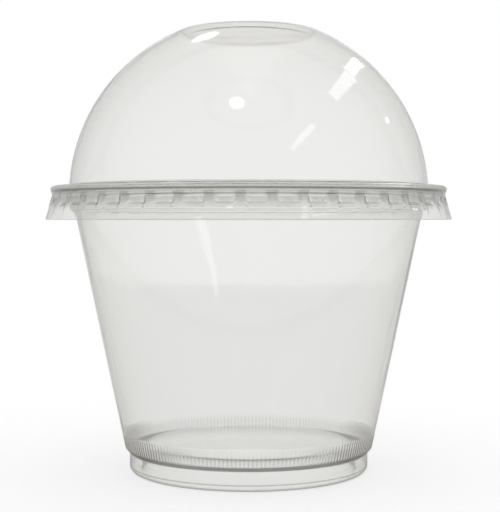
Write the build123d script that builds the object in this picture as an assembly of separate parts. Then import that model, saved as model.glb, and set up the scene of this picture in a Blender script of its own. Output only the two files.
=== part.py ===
from build123d import *
import os
from math import atan2, degrees, sqrt

os.makedirs("parts", exist_ok=True)

# Sheet that each piece is formed from
cup_sheet = 0.35
lid_sheet = 0.3

# Cup rim and collar
cup_height = 67.35
rim_radius = 46.0
rim_width = 3.7
rim_depth = 2.3
rim_lip = 1.9
rim_shoulder_bend = 1.2
rim_outer_bend = 0.8
rim_lower_bend = 0.6
collar_depth = 5.95
collar_step = 1.05
collar_rise = 0.3
collar_bend = 0.6

# Cup wall, stacking step and foot
foot_radius = 28.5
foot_height = 4.6
foot_corner = 1.5
foot_ring_width = 3.2
step_width = 1.05
step_rise = 1.2
step_bend = 0.5
floor_height = 6.3
floor_lean = 0.3
floor_corner = 0.9

# Fine grooves round the stacking step, which leave a rib between each two
rib_count = 200
groove_width = 0.6
groove_depth = 0.18
groove_rise = 3.6

# Fit of the lid on the rim
lid_rest_gap = 0.1
lid_side_gap = 0.25
lug_gap = 0.15

# Dome and its sunk top panel
dome_foot_inset = 3.35
dome_centre_drop = 2.5
crest_radius = 16.0
panel_radius = 14.6
panel_depth = 1.1
crest_bend = 0.5
panel_bend = 0.4
dome_foot_bend = 0.5

# Bead, skirt and snap lugs
bead_bulge = 0.9
bead_bend = 0.9
bead_depth = 2.0
waist_bend = 1.2
skirt_flare = 1.65
skirt_depth = 7.85
lug_count = 45
lug_width = 4.0
lug_top_drop = 2.6
lug_height = 1.85
lug_lead = 0.25

# Cutting tools run past what they cut by this much
overrun = 1.0

# Sizes that follow
collar_radius = rim_radius - rim_width
collar_height = cup_height - collar_depth
wall_top_radius = collar_radius - collar_step
step_height = foot_height + step_rise
step_radius = foot_radius + step_width
wall_slope = (wall_top_radius - step_radius) / (collar_height - step_height)
foot_inner_radius = foot_radius - foot_ring_width
floor_radius = foot_inner_radius - floor_lean
rim_bottom = cup_height - rim_depth
bead_top = cup_height + lid_rest_gap + lid_sheet
waist_radius = rim_radius + lid_side_gap + lid_sheet
waist_height = bead_top - bead_depth
bead_radius = waist_radius + bead_bulge
bead_lean = bead_bulge / bead_depth
skirt_radius = waist_radius + skirt_flare
skirt_bottom = bead_top - skirt_depth
dome_foot_radius = rim_radius - dome_foot_inset
dome_centre_height = bead_top - dome_centre_drop
dome_radius = sqrt(dome_foot_radius**2 + dome_centre_drop**2)
crest_rise = sqrt(dome_radius**2 - crest_radius**2)
crest_height = dome_centre_height + crest_rise
panel_height = crest_height - panel_depth
lug_pocket_radius = rim_radius + lug_gap + lid_sheet
lug_top = bead_top - lug_top_drop
lug_bottom = lug_top - lug_height


def inner_path(corners, bends, sheet):
    """Path parallel to a bent sheet's outer face, one sheet to its left, with its own bend radii."""
    corners = [Vector(corner) for corner in corners]
    runs = [(after - before).normalized() for before, after in zip(corners, corners[1:])]
    lefts = [Vector(-run.Y, run.X) for run in runs]
    path = [corners[0] + lefts[0] * sheet]
    radii = []
    for corner, bend, before, after in zip(corners[1:], bends, lefts, lefts[1:]):
        path.append(corner + (before + after) * (sheet / (1 + before.dot(after))))
        turns_left = before.cross(after).Z > 0
        radii.append(max(bend - sheet, 0) if turns_left else bend + sheet)
    path.append(corners[-1] + lefts[-1] * sheet)
    return FilletPolyline(*path, radius=radii)


def revolved_sheet(outer, inner):
    """Solid of revolution between the outer and inner face of a formed sheet."""
    ends = [Line(outer @ 0, inner @ 0), Line(outer @ 1, inner @ 1)]
    edges = [edge for path in (outer, inner, *ends) for edge in path.edges()]
    return revolve(Plane.XZ * make_face(edges), Axis.Z)


def rib_grooves():
    """Narrow V grooves that run up the wall from the stacking step, one between each two ribs."""
    flank = groove_width / 2 * (groove_depth + overrun) / groove_depth
    groove = make_face(Polyline((0, groove_depth), (flank, -overrun), (-flank, -overrun), close=True))
    root = (step_radius - wall_slope * step_rise, 0, foot_height)
    up_the_wall = Plane(origin=root, x_dir=(0, 1, 0), z_dir=(wall_slope, 0, 1))
    cutter = extrude(up_the_wall * groove, step_rise + groove_rise)
    return [cutter.rotate(Axis.Z, turn * 360 / rib_count) for turn in range(rib_count)]


def build_cup():
    """One sheet from the raised floor, down and up round the foot, up the wall and over the rolled rim."""
    corners = [
        (0, floor_height),
        (floor_radius, floor_height),
        (foot_inner_radius, 0),
        (foot_radius, 0),
        (foot_radius, foot_height),
        (step_radius, step_height),
        (wall_top_radius, collar_height),
        (collar_radius, collar_height + collar_rise),
        (collar_radius, cup_height - cup_sheet),
        (rim_radius - cup_sheet, cup_height - cup_sheet),
        (rim_radius - cup_sheet, rim_bottom + cup_sheet),
        (rim_radius - rim_lip, rim_bottom + cup_sheet),
    ]
    bends = [
        floor_corner,
        floor_corner,
        foot_corner,
        step_bend,
        step_bend,
        collar_bend,
        collar_bend,
        rim_shoulder_bend,
        rim_outer_bend,
        rim_lower_bend,
    ]
    outer = FilletPolyline(*corners, radius=bends)
    return revolved_sheet(outer, inner_path(corners, bends, cup_sheet)) - rib_grooves()


def lid_path(inset):
    """Face of the lid's sheet at a depth below its outer face, from the panel's middle to the skirt's edge."""
    radius = dome_radius - inset
    crest = (crest_radius * radius / dome_radius, dome_centre_height + crest_rise * radius / dome_radius)
    ledge_height = bead_top - inset
    dome_foot = (sqrt(radius**2 - (ledge_height - dome_centre_height) ** 2), ledge_height)
    panel_edge = (panel_radius, panel_height - inset)
    bead_corner = (bead_radius - inset - inset * bead_lean, ledge_height)
    waist = (waist_radius - inset, waist_height)
    crest_angle = degrees(atan2(crest_rise, crest_radius))
    foot_angle = degrees(atan2(ledge_height - dome_centre_height, dome_foot[0]))
    panel = Polyline((0, panel_height - inset), panel_edge, crest)
    dome = CenterArc((0, dome_centre_height), radius, crest_angle, foot_angle - crest_angle)
    brim = Polyline(dome_foot, bead_corner, waist, (skirt_radius - inset, skirt_bottom))
    wire = Wire([*panel.edges(), *dome.edges(), *brim.edges()])
    bends = {
        panel_edge: panel_bend + inset,
        crest: crest_bend - inset,
        dome_foot: dome_foot_bend + inset,
        bead_corner: bead_bend - inset,
        waist: waist_bend + inset,
    }
    for corner, bend in bends.items():
        wire = wire.fillet_2d(bend, wire.vertices().sort_by_distance(corner)[:1])
    return wire


def ring_of_lugs(section, width):
    """A lug's section swept over its width and repeated round the skirt."""
    arc = degrees(width / lug_pocket_radius)
    lug = revolve(Plane.XZ * section, Axis.Z, revolution_arc=arc).rotate(Axis.Z, -arc / 2)
    return [lug.rotate(Axis.Z, turn * 360 / lug_count) for turn in range(lug_count)]


def build_lid():
    """Formed lid sheet with snap lugs pressed inward below its bead."""
    outer = lid_path(0)
    shell = revolved_sheet(outer, lid_path(lid_sheet))
    under_face = make_face([*outer.edges(), *Polyline(outer @ 1, (0, skirt_bottom), outer @ 0).edges()])
    reach = skirt_radius + overrun
    flare = lug_lead * (reach - lug_pocket_radius)
    pocket = make_face(
        Polyline(
            (lug_pocket_radius, lug_top),
            (lug_pocket_radius, lug_bottom),
            (reach, lug_bottom - flare),
            (reach, lug_top + flare),
            close=True,
        )
    )
    bump = offset(pocket, lid_sheet, kind=Kind.INTERSECTION) & under_face
    shell = shell + ring_of_lugs(bump, lug_width + 2 * lid_sheet)
    return shell - ring_of_lugs(pocket, lug_width)


cup = build_cup()
cup.label = "cup"
export_step(cup, "parts/cup.step")

dome_lid = build_lid()
dome_lid.label = "dome_lid"
export_step(dome_lid, "parts/dome_lid.step")
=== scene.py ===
from math import atan2, cos, hypot, pi, radians, sin, sqrt, tan

import bmesh
import bpy
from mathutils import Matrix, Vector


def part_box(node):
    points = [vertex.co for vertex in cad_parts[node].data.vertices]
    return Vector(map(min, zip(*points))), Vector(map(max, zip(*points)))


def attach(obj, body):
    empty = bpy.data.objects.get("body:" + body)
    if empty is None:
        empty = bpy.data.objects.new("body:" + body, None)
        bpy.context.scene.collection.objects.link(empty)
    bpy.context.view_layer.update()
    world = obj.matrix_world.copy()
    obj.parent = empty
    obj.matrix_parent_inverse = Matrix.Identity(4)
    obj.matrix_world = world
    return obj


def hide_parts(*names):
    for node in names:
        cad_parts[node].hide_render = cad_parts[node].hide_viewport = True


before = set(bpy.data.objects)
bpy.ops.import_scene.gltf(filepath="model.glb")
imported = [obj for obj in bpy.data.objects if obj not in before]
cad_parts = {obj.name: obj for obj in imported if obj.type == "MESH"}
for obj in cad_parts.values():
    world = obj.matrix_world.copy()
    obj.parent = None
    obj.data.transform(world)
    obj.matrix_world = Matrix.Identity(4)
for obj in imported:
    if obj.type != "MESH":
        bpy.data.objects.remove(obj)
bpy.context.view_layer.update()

MM = 0.001

# Sizes taken from the frame, in millimetres like those below
cup_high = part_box("cup")[1]
lid_low, lid_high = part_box("dome_lid")
cup_height = cup_high[2] / MM
skirt_bottom = lid_low[2] / MM
skirt_radius = lid_high[0] / MM

# Formed sheet
cup_sheet = 0.35
lid_sheet = 0.3
bend_steps = 5
merge_distance = 0.002
sharp_angle = radians(38)

# Cup rim and collar
rim_radius = 46.0
rim_width = 3.7
rim_depth = 2.3
rim_lip = 1.9
rim_shoulder_bend = 1.2
rim_outer_bend = 0.8
rim_lower_bend = 0.6
collar_depth = 5.95
collar_step = 1.05
collar_rise = 0.7
collar_bend = 0.6

# Cup wall, stacking step, foot and floor
foot_radius = 28.5
foot_height = 4.6
foot_corner = 1.5
foot_ring_width = 3.2
step_width = 1.05
step_rise = 1.2
step_bend = 0.5
floor_height = 6.3
floor_lean = 0.3
floor_corner = 0.9

# Ribs round the stacking step, with rows of points at shares of the grooves' rise
rib_count = 200
columns_per_rib = 4
groove_depth = 0.1
groove_rise = 3.6
groove_end_gap = 0.02
rib_start_share = 0.3
rib_row_shares = (0.35, 0.65, 0.95, 1.0, 1.08)

# Lid
bead_bulge = 0.9
bead_bend = 0.9
bead_depth = 2.0
waist_bend = 1.2
skirt_flare = 1.65
skirt_depth = 7.85
dome_foot_inset = 3.35
dome_centre_drop = 2.5
dome_foot_bend = 0.5
dome_steps = 32
crest_radius = 16.0
crest_bend = 0.5
panel_radius = 14.6
panel_depth = 1.1
panel_bend = 0.4

# Snap lugs, with points at shares of each rolled edge and of the gap to the next lug
lug_count = 45
lug_width = 4.0
lug_radius = 46.45
lug_top_drop = 2.6
lug_height = 1.85
lug_lead = 0.1
lug_round = 0.35
roll_shares = (0, 1 / 3, 2 / 3, 1)
gap_shares = (1 / 2, 1)

# Heights that follow
step_height = foot_height + step_rise
groove_top = step_height + groove_rise
bead_top = skirt_bottom + skirt_depth
lug_top = bead_top - lug_top_drop
lug_bottom = lug_top - lug_height

# Clear sheet, with a faint tint that shows where light runs along it
sheet_colour = (0.99, 0.99, 0.99, 1)
sheet_ior = 1.57
sheet_roughness = 0.03
haze_roughness = 0.03
haze_scale = 60.0
haze_detail = 3.0
smoke_colour = (0.36, 0.38, 0.22, 1)
smoke_density = 190.0

# Draw lines down the sheet
draw_scale = 140.0
draw_detail = 2.0
draw_stretch = (1.0, 1.0, 0.12)
draw_depth = 0.4
cup_waviness = 0.2
lid_waviness = 0.12

# Share of the painted shade colour at each mark of painted shade, and how much rougher the frosted parts
# are
# Painted shade: the dark colour mixed into the clear sheet at its folds, rib valleys, lug gaps and below
# the lugs
painted_shade_colour = (0.2, 0.195, 0.18, 1)
step_share = 0.85
foot_share = 0.45
valley_share = 0.25
bead_share = 0.7
waist_share = 0.15
gap_share = 0.25
lug_share = 0.3
rib_frost = 0.12
skirt_frost = 0.08

# Heights at which each mark of painted shade or frost starts, is full, fades and ends
step_fold_shade = (foot_height - 0.1, foot_height + 0.25, step_height - 0.3, step_height + 0.1)
foot_fold_shade = (1.3, 1.5, 1.6, 1.8)
rib_zone = (step_height - 0.2, step_height + 0.3, step_height + 1, groove_top)
bead_fold_shade = (bead_top - 1.75, bead_top - 1.45, bead_top - 1.3, bead_top - 0.9)
waist_shade_zone = (lug_top, lug_top + 0.8, bead_top - 1.2, bead_top - 0.8)
gap_shade_zone = (lug_bottom - 0.2, lug_top - 0.2, lug_top + 0.5, lug_top + 0.9)
lug_shade_line = (lug_bottom - 0.35, lug_bottom - 0.05, lug_bottom + 0.05, lug_bottom + 0.25)
frost_zone = (lug_bottom - 1.2, lug_bottom - 0.4, bead_top - 0.5, bead_top - 0.2)

# Shares of the lugs' pitch, from a lug's middle, over which the painted shade of the gap between lugs sets
# in
gap_edge_shares = (0.27, 0.36)

# Light levels, where 1 is white
white = (1, 1, 1, 1)
warm_white = (1, 0.955, 0.93, 1)
floor_colour = (0.97, 0.97, 0.97, 1)
floor_level = 0.9
room_level = 0.66
shadow_lift = 0.7

# White backdrop that reflections show behind the object: angles to its side and slopes up and down
backdrop_edge = radians(18)
backdrop_full = radians(7)
backdrop_slopes = (0.3, 0.5)

# Floor's half width and the lamps' height, in metres, and the floor's gap below the foot, in millimetres
floor_reach = 0.9
lamp_height = 0.885
floor_gap = 0.05

# Camera, fitted to the rings of the cup and the dome
photo_width, photo_height = 500, 512
camera_distance = 305.0
camera_height = 59.3
focal_pixels = 1270.8
axis_pixel = 248.7
horizon_pixel = 222
sensor_size = 36.0
clip_start = 0.01

# Light bounces through the clear sheets and between mirroring faces
clear_bounces = 32
mirror_bounces = 12


class Lathe:
    """Chain of profile points, from the axis and above the foot, that becomes a round sheet."""

    def __init__(self):
        self.mesh = bmesh.new()
        self.last = None
        self.bends = []

    def to(self, radius, height, bend=0):
        """Runs straight to the next corner, which is rounded to the bend radius."""
        point = self.mesh.verts.new((radius * MM, 0, height * MM))
        if self.last is not None:
            self.mesh.edges.new((self.last, point))
        if bend:
            self.bends.append((point, bend))
        self.last = point

    def arc(self, centre_height, angle, steps, bend):
        """Swings the chain's end round a centre on the axis, and rounds the corner it ends at."""
        centre = (0, 0, centre_height * MM)
        made = bmesh.ops.spin(
            self.mesh, geom=[self.last], cent=centre, axis=(0, 1, 0), angle=angle, steps=steps
        )
        self.last = next(item for item in made["geom_last"] if isinstance(item, bmesh.types.BMVert))
        self.bends.append((self.last, bend))

    def round_corners(self):
        for corner, bend in self.bends:
            before, after = [edge.other_vert(corner).co - corner.co for edge in corner.link_edges]
            turn = pi - before.angle(after)
            steps = max(2, round(bend_steps * turn / (pi / 2)))
            bmesh.ops.bevel(
                self.mesh, geom=[corner], offset=bend * MM * tan(turn / 2), offset_type="OFFSET",
                segments=steps, profile=0.5, affect="VERTICES", material=-1,
            )

    def spin(self, columns):
        """Turns the chain once round the axis."""
        self.round_corners()
        bmesh.ops.spin(
            self.mesh, geom=self.mesh.verts[:] + self.mesh.edges[:], cent=(0, 0, 0), axis=(0, 0, 1),
            angle=2 * pi, steps=columns, use_merge=True,
        )
        bmesh.ops.remove_doubles(self.mesh, verts=self.mesh.verts, dist=merge_distance * MM)
        return self.mesh


def between(start, end, share):
    return start + (end - start) * share


def ramp(value, start, end):
    """Smooth rise from 0 at the start to 1 at the end."""
    share = min(max((value - start) / (end - start), 0), 1)
    return share * share * (3 - 2 * share)


def finished_sheet(name, mesh, sheet, outward, material, body, node):
    """Gives the sheet its thickness, away from the side that its middle faces, and puts it on its body."""
    bmesh.ops.recalc_face_normals(mesh, faces=mesh.faces)
    middle = min(mesh.faces, key=lambda face: face.calc_center_median().xy.length)
    if middle.normal.z * outward < 0:
        bmesh.ops.reverse_faces(mesh, faces=mesh.faces)
    bmesh.ops.solidify(mesh, geom=mesh.faces[:], thickness=sheet * MM)
    data = bpy.data.meshes.new(name)
    mesh.to_mesh(data)
    mesh.free()
    data.shade_smooth()
    data.set_sharp_from_angle(angle=sharp_angle)
    data.materials.append(material)
    piece = bpy.data.objects.new(name, data)
    bpy.context.collection.objects.link(piece)
    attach(piece, body)
    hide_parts(node)


def build_cup(material):
    collar_radius = rim_radius - rim_width
    collar_height = cup_height - collar_depth
    rim_bottom = cup_height - rim_depth
    step_radius = foot_radius + step_width
    foot_inner = foot_radius - foot_ring_width
    wall_top = collar_radius - collar_step
    wall_slope = (wall_top - step_radius) / (collar_height - step_height)

    lathe = Lathe()
    lathe.to(0, floor_height)
    lathe.to(foot_inner - floor_lean, floor_height, floor_corner)
    lathe.to(foot_inner, 0, floor_corner)
    lathe.to(foot_radius, 0, foot_corner)
    lathe.to(foot_radius, foot_height, step_bend)
    lathe.to(step_radius, step_height, step_bend)
    for share in rib_row_shares:
        rise = groove_rise * share
        lathe.to(step_radius + wall_slope * rise, step_height + rise)
    lathe.to(wall_top, collar_height, collar_bend)
    lathe.to(collar_radius, collar_height + collar_rise, collar_bend)
    lathe.to(collar_radius, cup_height - cup_sheet, rim_shoulder_bend)
    lathe.to(rim_radius - cup_sheet, cup_height - cup_sheet, rim_outer_bend)
    lathe.to(rim_radius - cup_sheet, rim_bottom + cup_sheet, rim_lower_bend)
    lathe.to(rim_radius - rim_lip, rim_bottom + cup_sheet)
    mesh = lathe.spin(rib_count * columns_per_rib)

    # Grooves: one column of each rib's four is pressed in fully, and those beside it by half
    for vertex in mesh.verts:
        radius = hypot(vertex.co.x, vertex.co.y) / MM
        height = vertex.co.z / MM
        on_step = radius > foot_radius + rib_start_share * step_width
        if on_step and foot_height < height < groove_top - groove_end_gap:
            turn = atan2(vertex.co.y, vertex.co.x) / (2 * pi) * rib_count
            depth = groove_depth * abs(2 * (turn % 1) - 1)
            vertex.co.xy *= (radius - depth) / radius
    finished_sheet("cup_sheet", mesh, cup_sheet, -1, material, "cup", "cup")


def build_lid(material):
    waist_radius = skirt_radius - skirt_flare
    waist_height = bead_top - bead_depth
    dome_foot_radius = rim_radius - dome_foot_inset
    centre_height = bead_top - dome_centre_drop
    dome_radius = hypot(dome_foot_radius, dome_centre_drop)
    crest_rise = sqrt(dome_radius**2 - crest_radius**2)
    crest_height = centre_height + crest_rise
    crest_angle = atan2(crest_radius, crest_rise)
    foot_angle = atan2(dome_foot_radius, dome_centre_drop)
    slope = skirt_flare / (waist_height - skirt_bottom)

    def skirt_point(height):
        return waist_radius + slope * (waist_height - height), height

    # Rows and columns are gathered where a lug's edges roll over
    upper_roll = (lug_top + lug_lead, lug_top + lug_lead - 2 * lug_round)
    lower_roll = (lug_bottom + lug_round, lug_bottom - lug_round)
    side_roll = (lug_width / 2 - lug_round, lug_width / 2 + lug_round)
    half_pitch = pi * lug_radius / lug_count
    flat_stops = [0, side_roll[0] / 2]
    side_stops = [between(*side_roll, share) for share in roll_shares]
    gap_stops = [between(side_roll[1], half_pitch, share) for share in gap_shares]
    stops = flat_stops + side_stops + gap_stops
    columns_per_lug = 2 * (len(stops) - 1)

    lathe = Lathe()
    lathe.to(0, crest_height - panel_depth)
    lathe.to(panel_radius, crest_height - panel_depth, panel_bend)
    lathe.to(crest_radius, crest_height, crest_bend)
    lathe.arc(centre_height, foot_angle - crest_angle, dome_steps, dome_foot_bend)
    lathe.to(waist_radius + bead_bulge, bead_top, bead_bend)
    lathe.to(waist_radius, waist_height, waist_bend)
    for roll in (upper_roll, lower_roll):
        for share in roll_shares:
            lathe.to(*skirt_point(between(*roll, share)))
    lathe.to(*skirt_point(skirt_bottom))
    mesh = lathe.spin(lug_count * columns_per_lug)

    # Lugs are pressed in from the skirt to their own radius
    pitch = 2 * pi / lug_count
    for vertex in mesh.verts:
        radius = hypot(vertex.co.x, vertex.co.y) / MM
        height = vertex.co.z / MM
        turn = atan2(vertex.co.y, vertex.co.x) / pitch
        lug = round(turn)
        column = round((turn - lug) * columns_per_lug)
        arc = stops[abs(column)]
        angle = lug * pitch + arc / lug_radius * (1 if column > 0 else -1)
        in_height = ramp(height, *upper_roll) * ramp(height, *reversed(lower_roll))
        press = ramp(arc, *reversed(side_roll)) * in_height
        radius += (lug_radius - radius) * press
        vertex.co.xy = radius * MM * cos(angle), radius * MM * sin(angle)
    finished_sheet("dome_lid_sheet", mesh, lid_sheet, 1, material, "lid", "dome_lid")


class Wire:
    """One output of a shader node. Arithmetic on it adds the Math node that does it."""

    def __init__(self, tree, output):
        self.tree = tree
        self.output = output

    def math(self, operation, *others, swap=False):
        inputs = [*others, self] if swap else [self, *others]
        return add_node(self.tree, "ShaderNodeMath", {"operation": operation}, dict(enumerate(inputs)))

    def __add__(self, other):
        return self.math("ADD", other)

    __radd__ = __add__

    def __mul__(self, other):
        return self.math("MULTIPLY", other)

    __rmul__ = __mul__

    def __sub__(self, other):
        return self.math("SUBTRACT", other)

    def __rsub__(self, other):
        return self.math("SUBTRACT", other, swap=True)

    def __truediv__(self, other):
        return self.math("DIVIDE", other)

    def ramp(self, start, end):
        """Smooth rise from 0 at the start to 1 at the end."""
        limits = {"Value": self, "From Min": start, "From Max": end}
        return add_node(self.tree, "ShaderNodeMapRange", {"interpolation_type": "SMOOTHSTEP"}, limits)

    def band(self, start, full, fading, end):
        """Smooth rise to 1 and fall back to 0."""
        return self.ramp(start, full) * (1 - self.ramp(fading, end))

    def parts(self):
        """The three parts of a vector."""
        split = add_node(self.tree, "ShaderNodeSeparateXYZ", {}, {"Vector": self})
        return [Wire(self.tree, output) for output in split.output.node.outputs]


def add_node(tree, kind, settings=None, inputs=None, output=0):
    """A node with its settings and its sockets' values or links, given back as one of its outputs."""
    node = tree.nodes.new(kind)
    for name, value in (settings or {}).items():
        setattr(node, name, value)
    for name, value in (inputs or {}).items():
        if isinstance(value, Wire):
            tree.links.new(value.output, node.inputs[name])
        else:
            node.inputs[name].default_value = value
    return Wire(tree, node.outputs[output]) if node.outputs else None


def clear_sheet(name, waviness, marks):
    """Clear formed sheet: smooth, slightly smoky, with draw lines, and with painted shade mixed into its
    colour where the marks put it.
    """
    material = bpy.data.materials.new(name)
    material.use_nodes = True
    tree = material.node_tree
    tree.nodes.clear()
    place = add_node(tree, "ShaderNodeTexCoord", output="Object")
    shade, frost, drawn = marks(place)
    stretched = add_node(tree, "ShaderNodeMapping", {}, {"Vector": place, "Scale": draw_stretch})
    line_noise = {"Vector": stretched, "Scale": draw_scale, "Detail": draw_detail}
    lines = add_node(tree, "ShaderNodeTexNoise", {}, line_noise)
    haze_noise = {"Vector": place, "Scale": haze_scale, "Detail": haze_detail}
    haze = add_node(tree, "ShaderNodeTexNoise", {}, haze_noise)
    relief = {"Strength": waviness, "Distance": draw_depth * MM, "Height": lines * drawn}
    bump = add_node(tree, "ShaderNodeBump", {}, relief, "Normal")
    # Painted shade: the clear sheet's colour is darkened towards the shade colour by each mark's share
    mixing = {"Factor": shade, "A": sheet_colour, "B": painted_shade_colour}
    colour = add_node(tree, "ShaderNodeMix", {"data_type": "RGBA"}, mixing, "Result")
    surface = {
        "Base Color": colour,
        "Roughness": sheet_roughness + haze_roughness * haze + frost,
        "IOR": sheet_ior,
        "Transmission Weight": 1.0,
        "Normal": bump,
    }
    shader = add_node(tree, "ShaderNodeBsdfPrincipled", {}, surface)
    tint = {"Color": smoke_colour, "Density": smoke_density}
    smoke = add_node(tree, "ShaderNodeVolumeAbsorption", {}, tint)
    add_node(tree, "ShaderNodeOutputMaterial", {}, {"Surface": shader, "Volume": smoke})
    return material


def cup_marks(place):
    """Painted shade at the step and foot folds and in the rib valleys, frosted ribs, and the part with
    draw lines.
    """
    x, y, z = place.parts()
    height = z / MM
    radius = (x * x + y * y).math("SQRT") / MM
    outside = radius.math("GREATER_THAN", foot_radius - foot_corner)
    turn = y.math("ARCTAN2", x) * (rib_count / (2 * pi))
    valley = (2 * turn.math("FRACT") - 1).math("ABSOLUTE")
    step = height.band(*step_fold_shade)
    foot = height.band(*foot_fold_shade)
    ribs = height.band(*rib_zone)
    # Painted shade: the dark shade colour is mixed in at the step fold, the foot fold and the rib valleys
    shade = outside * (step * step_share + foot * foot_share + valley * ribs * valley_share)
    frost = outside * ribs * rib_frost
    drawn = outside * height.ramp(step_height, groove_top)
    return shade, frost, drawn


def lid_marks(place):
    """Painted shade at the fold under the bead, on the waist above the lugs, in the gaps between lugs and
    as a line below each lug, and a frosted skirt.
    """
    x, y, z = place.parts()
    height = z / MM
    turn = y.math("ARCTAN2", x) * (lug_count / (2 * pi))
    from_lug = ((turn + 0.5).math("FRACT") - 0.5).math("ABSOLUTE")
    gap = from_lug.ramp(*gap_edge_shares)
    bead = height.band(*bead_fold_shade)
    waist = height.band(*waist_shade_zone)
    between_lugs = gap * height.band(*gap_shade_zone)
    below_lug = (1 - gap) * height.band(*lug_shade_line)
    # Painted shade: the dark shade colour is mixed in at the bead's fold, on the waist, in the lug gaps
    # and along a line below each lug
    shade = bead * bead_share + waist * waist_share + between_lugs * gap_share + below_lug * lug_share
    frost = height.band(*frost_zone) * skirt_frost
    return shade, frost, 1.0


def mirrored_share(tree):
    """1 for light that comes by a reflection, and 0 for light seen straight or through the sheet."""
    return add_node(tree, "ShaderNodeLightPath", output="Glossy Depth").math("MINIMUM", 1)


def light_level(tree, direction):
    """White straight or through the sheet, and a dimmer room in reflections, but for a white backdrop."""
    x, y, z = direction.parts()
    level_run = (x * x + y * y).math("SQRT")
    behind = (y / level_run).ramp(cos(backdrop_edge), cos(backdrop_full))
    low = 1 - (z.math("ABSOLUTE") / level_run).ramp(*backdrop_slopes)
    return 1 - (1 - room_level) * (1 - behind * low) * mirrored_share(tree)


def build_floor():
    """Pale floor that keeps a soft shadow, and is plain white seen through the clear sheet."""
    floor_mesh = bmesh.new()
    bmesh.ops.create_grid(floor_mesh, x_segments=1, y_segments=1, size=floor_reach)
    data = bpy.data.meshes.new("floor")
    floor_mesh.to_mesh(data)
    floor_mesh.free()
    material = bpy.data.materials.new("pale floor")
    material.use_nodes = True
    tree = material.node_tree
    tree.nodes.clear()
    through = add_node(tree, "ShaderNodeLightPath", output="Is Transmission Ray")
    straight = add_node(tree, "ShaderNodeLightPath", output="Is Camera Ray")
    lit = add_node(tree, "ShaderNodeBsdfDiffuse", {}, {"Color": floor_colour})
    place = add_node(tree, "ShaderNodeTexCoord", output="Object")
    strength = floor_level * light_level(tree, place)
    tint = {"Factor": mirrored_share(tree), "A": white, "B": warm_white}
    colour = add_node(tree, "ShaderNodeMix", {"data_type": "RGBA"}, tint, "Result")
    plain = add_node(tree, "ShaderNodeEmission", {}, {"Color": colour, "Strength": strength})
    lift = add_node(tree, "ShaderNodeEmission", {}, {"Color": white, "Strength": 1.0})
    seen = add_node(tree, "ShaderNodeMixShader", {}, {0: straight * shadow_lift, 1: lit, 2: lift})
    shader = add_node(tree, "ShaderNodeMixShader", {}, {0: through, 1: seen, 2: plain})
    add_node(tree, "ShaderNodeOutputMaterial", {}, {"Surface": shader})
    data.materials.append(material)
    floor = bpy.data.objects.new("floor", data)
    floor.location.z = -floor_gap * MM
    bpy.context.collection.objects.link(floor)


def build_world():
    """White to the camera and through the clear sheet, and a dimmer room in reflections."""
    world = bpy.data.worlds.new("studio")
    bpy.context.scene.world = world
    world.use_nodes = True
    tree = world.node_tree
    tree.nodes.clear()
    direction = add_node(tree, "ShaderNodeTexCoord", output="Generated")
    strength = light_level(tree, direction)
    light = add_node(tree, "ShaderNodeBackground", {}, {"Color": white, "Strength": strength})
    add_node(tree, "ShaderNodeOutputWorld", {}, {"Surface": light})


def add_lamp(name, shape, x, y, width, length, brightness):
    """Flat lamp under the ceiling that faces down, in metres, with a brightness where 1 is about white."""
    lamp = bpy.data.lights.new(name, "AREA")
    lamp.shape = shape
    lamp.size = width
    lamp.size_y = length
    lamp.energy = brightness * pi * width * length
    holder = bpy.data.objects.new(name, lamp)
    holder.location = (x, y, lamp_height)
    bpy.context.collection.objects.link(holder)


def build_camera():
    camera = bpy.data.cameras.new("camera")
    camera.sensor_fit = "VERTICAL"
    camera.sensor_height = sensor_size
    camera.lens = focal_pixels / photo_height * sensor_size
    camera.clip_start = clip_start
    holder = bpy.data.objects.new("camera", camera)
    side = (photo_width / 2 - axis_pixel) * camera_distance / focal_pixels
    pitch = atan2(photo_height / 2 - horizon_pixel, focal_pixels)
    holder.location = (side * MM, -camera_distance * MM, camera_height * MM)
    holder.rotation_euler = (pi / 2 - pitch, 0, 0)
    bpy.context.collection.objects.link(holder)
    bpy.context.scene.camera = holder


build_cup(clear_sheet("clear cup sheet", cup_waviness, cup_marks))
build_lid(clear_sheet("clear lid sheet", lid_waviness, lid_marks))
build_floor()
build_world()
build_camera()
add_lamp("right_tube_front", "RECTANGLE", x=0.75, y=-1.05, width=0.12, length=0.8, brightness=1.1)
add_lamp("right_tube_middle", "RECTANGLE", x=0.685, y=0.19, width=0.14, length=0.57, brightness=1.2)
add_lamp("right_tube_back", "RECTANGLE", x=0.65, y=0.90, width=0.10, length=0.8, brightness=3.0)
add_lamp("overhead", "ELLIPSE", x=-0.10, y=-0.53, width=0.12, length=0.16, brightness=2.4)
add_lamp("left_back", "ELLIPSE", x=-0.222, y=0.56, width=0.15, length=0.2, brightness=1.5)
add_lamp("right_far", "ELLIPSE", x=1.44, y=0.77, width=0.13, length=0.13, brightness=2.0)

scene = bpy.context.scene
scene.view_settings.view_transform = "Standard"
scene.cycles.max_bounces = clear_bounces
scene.cycles.transmission_bounces = clear_bounces
scene.cycles.transparent_max_bounces = clear_bounces
scene.cycles.glossy_bounces = mirror_bounces

bpy.context.view_layer.update()
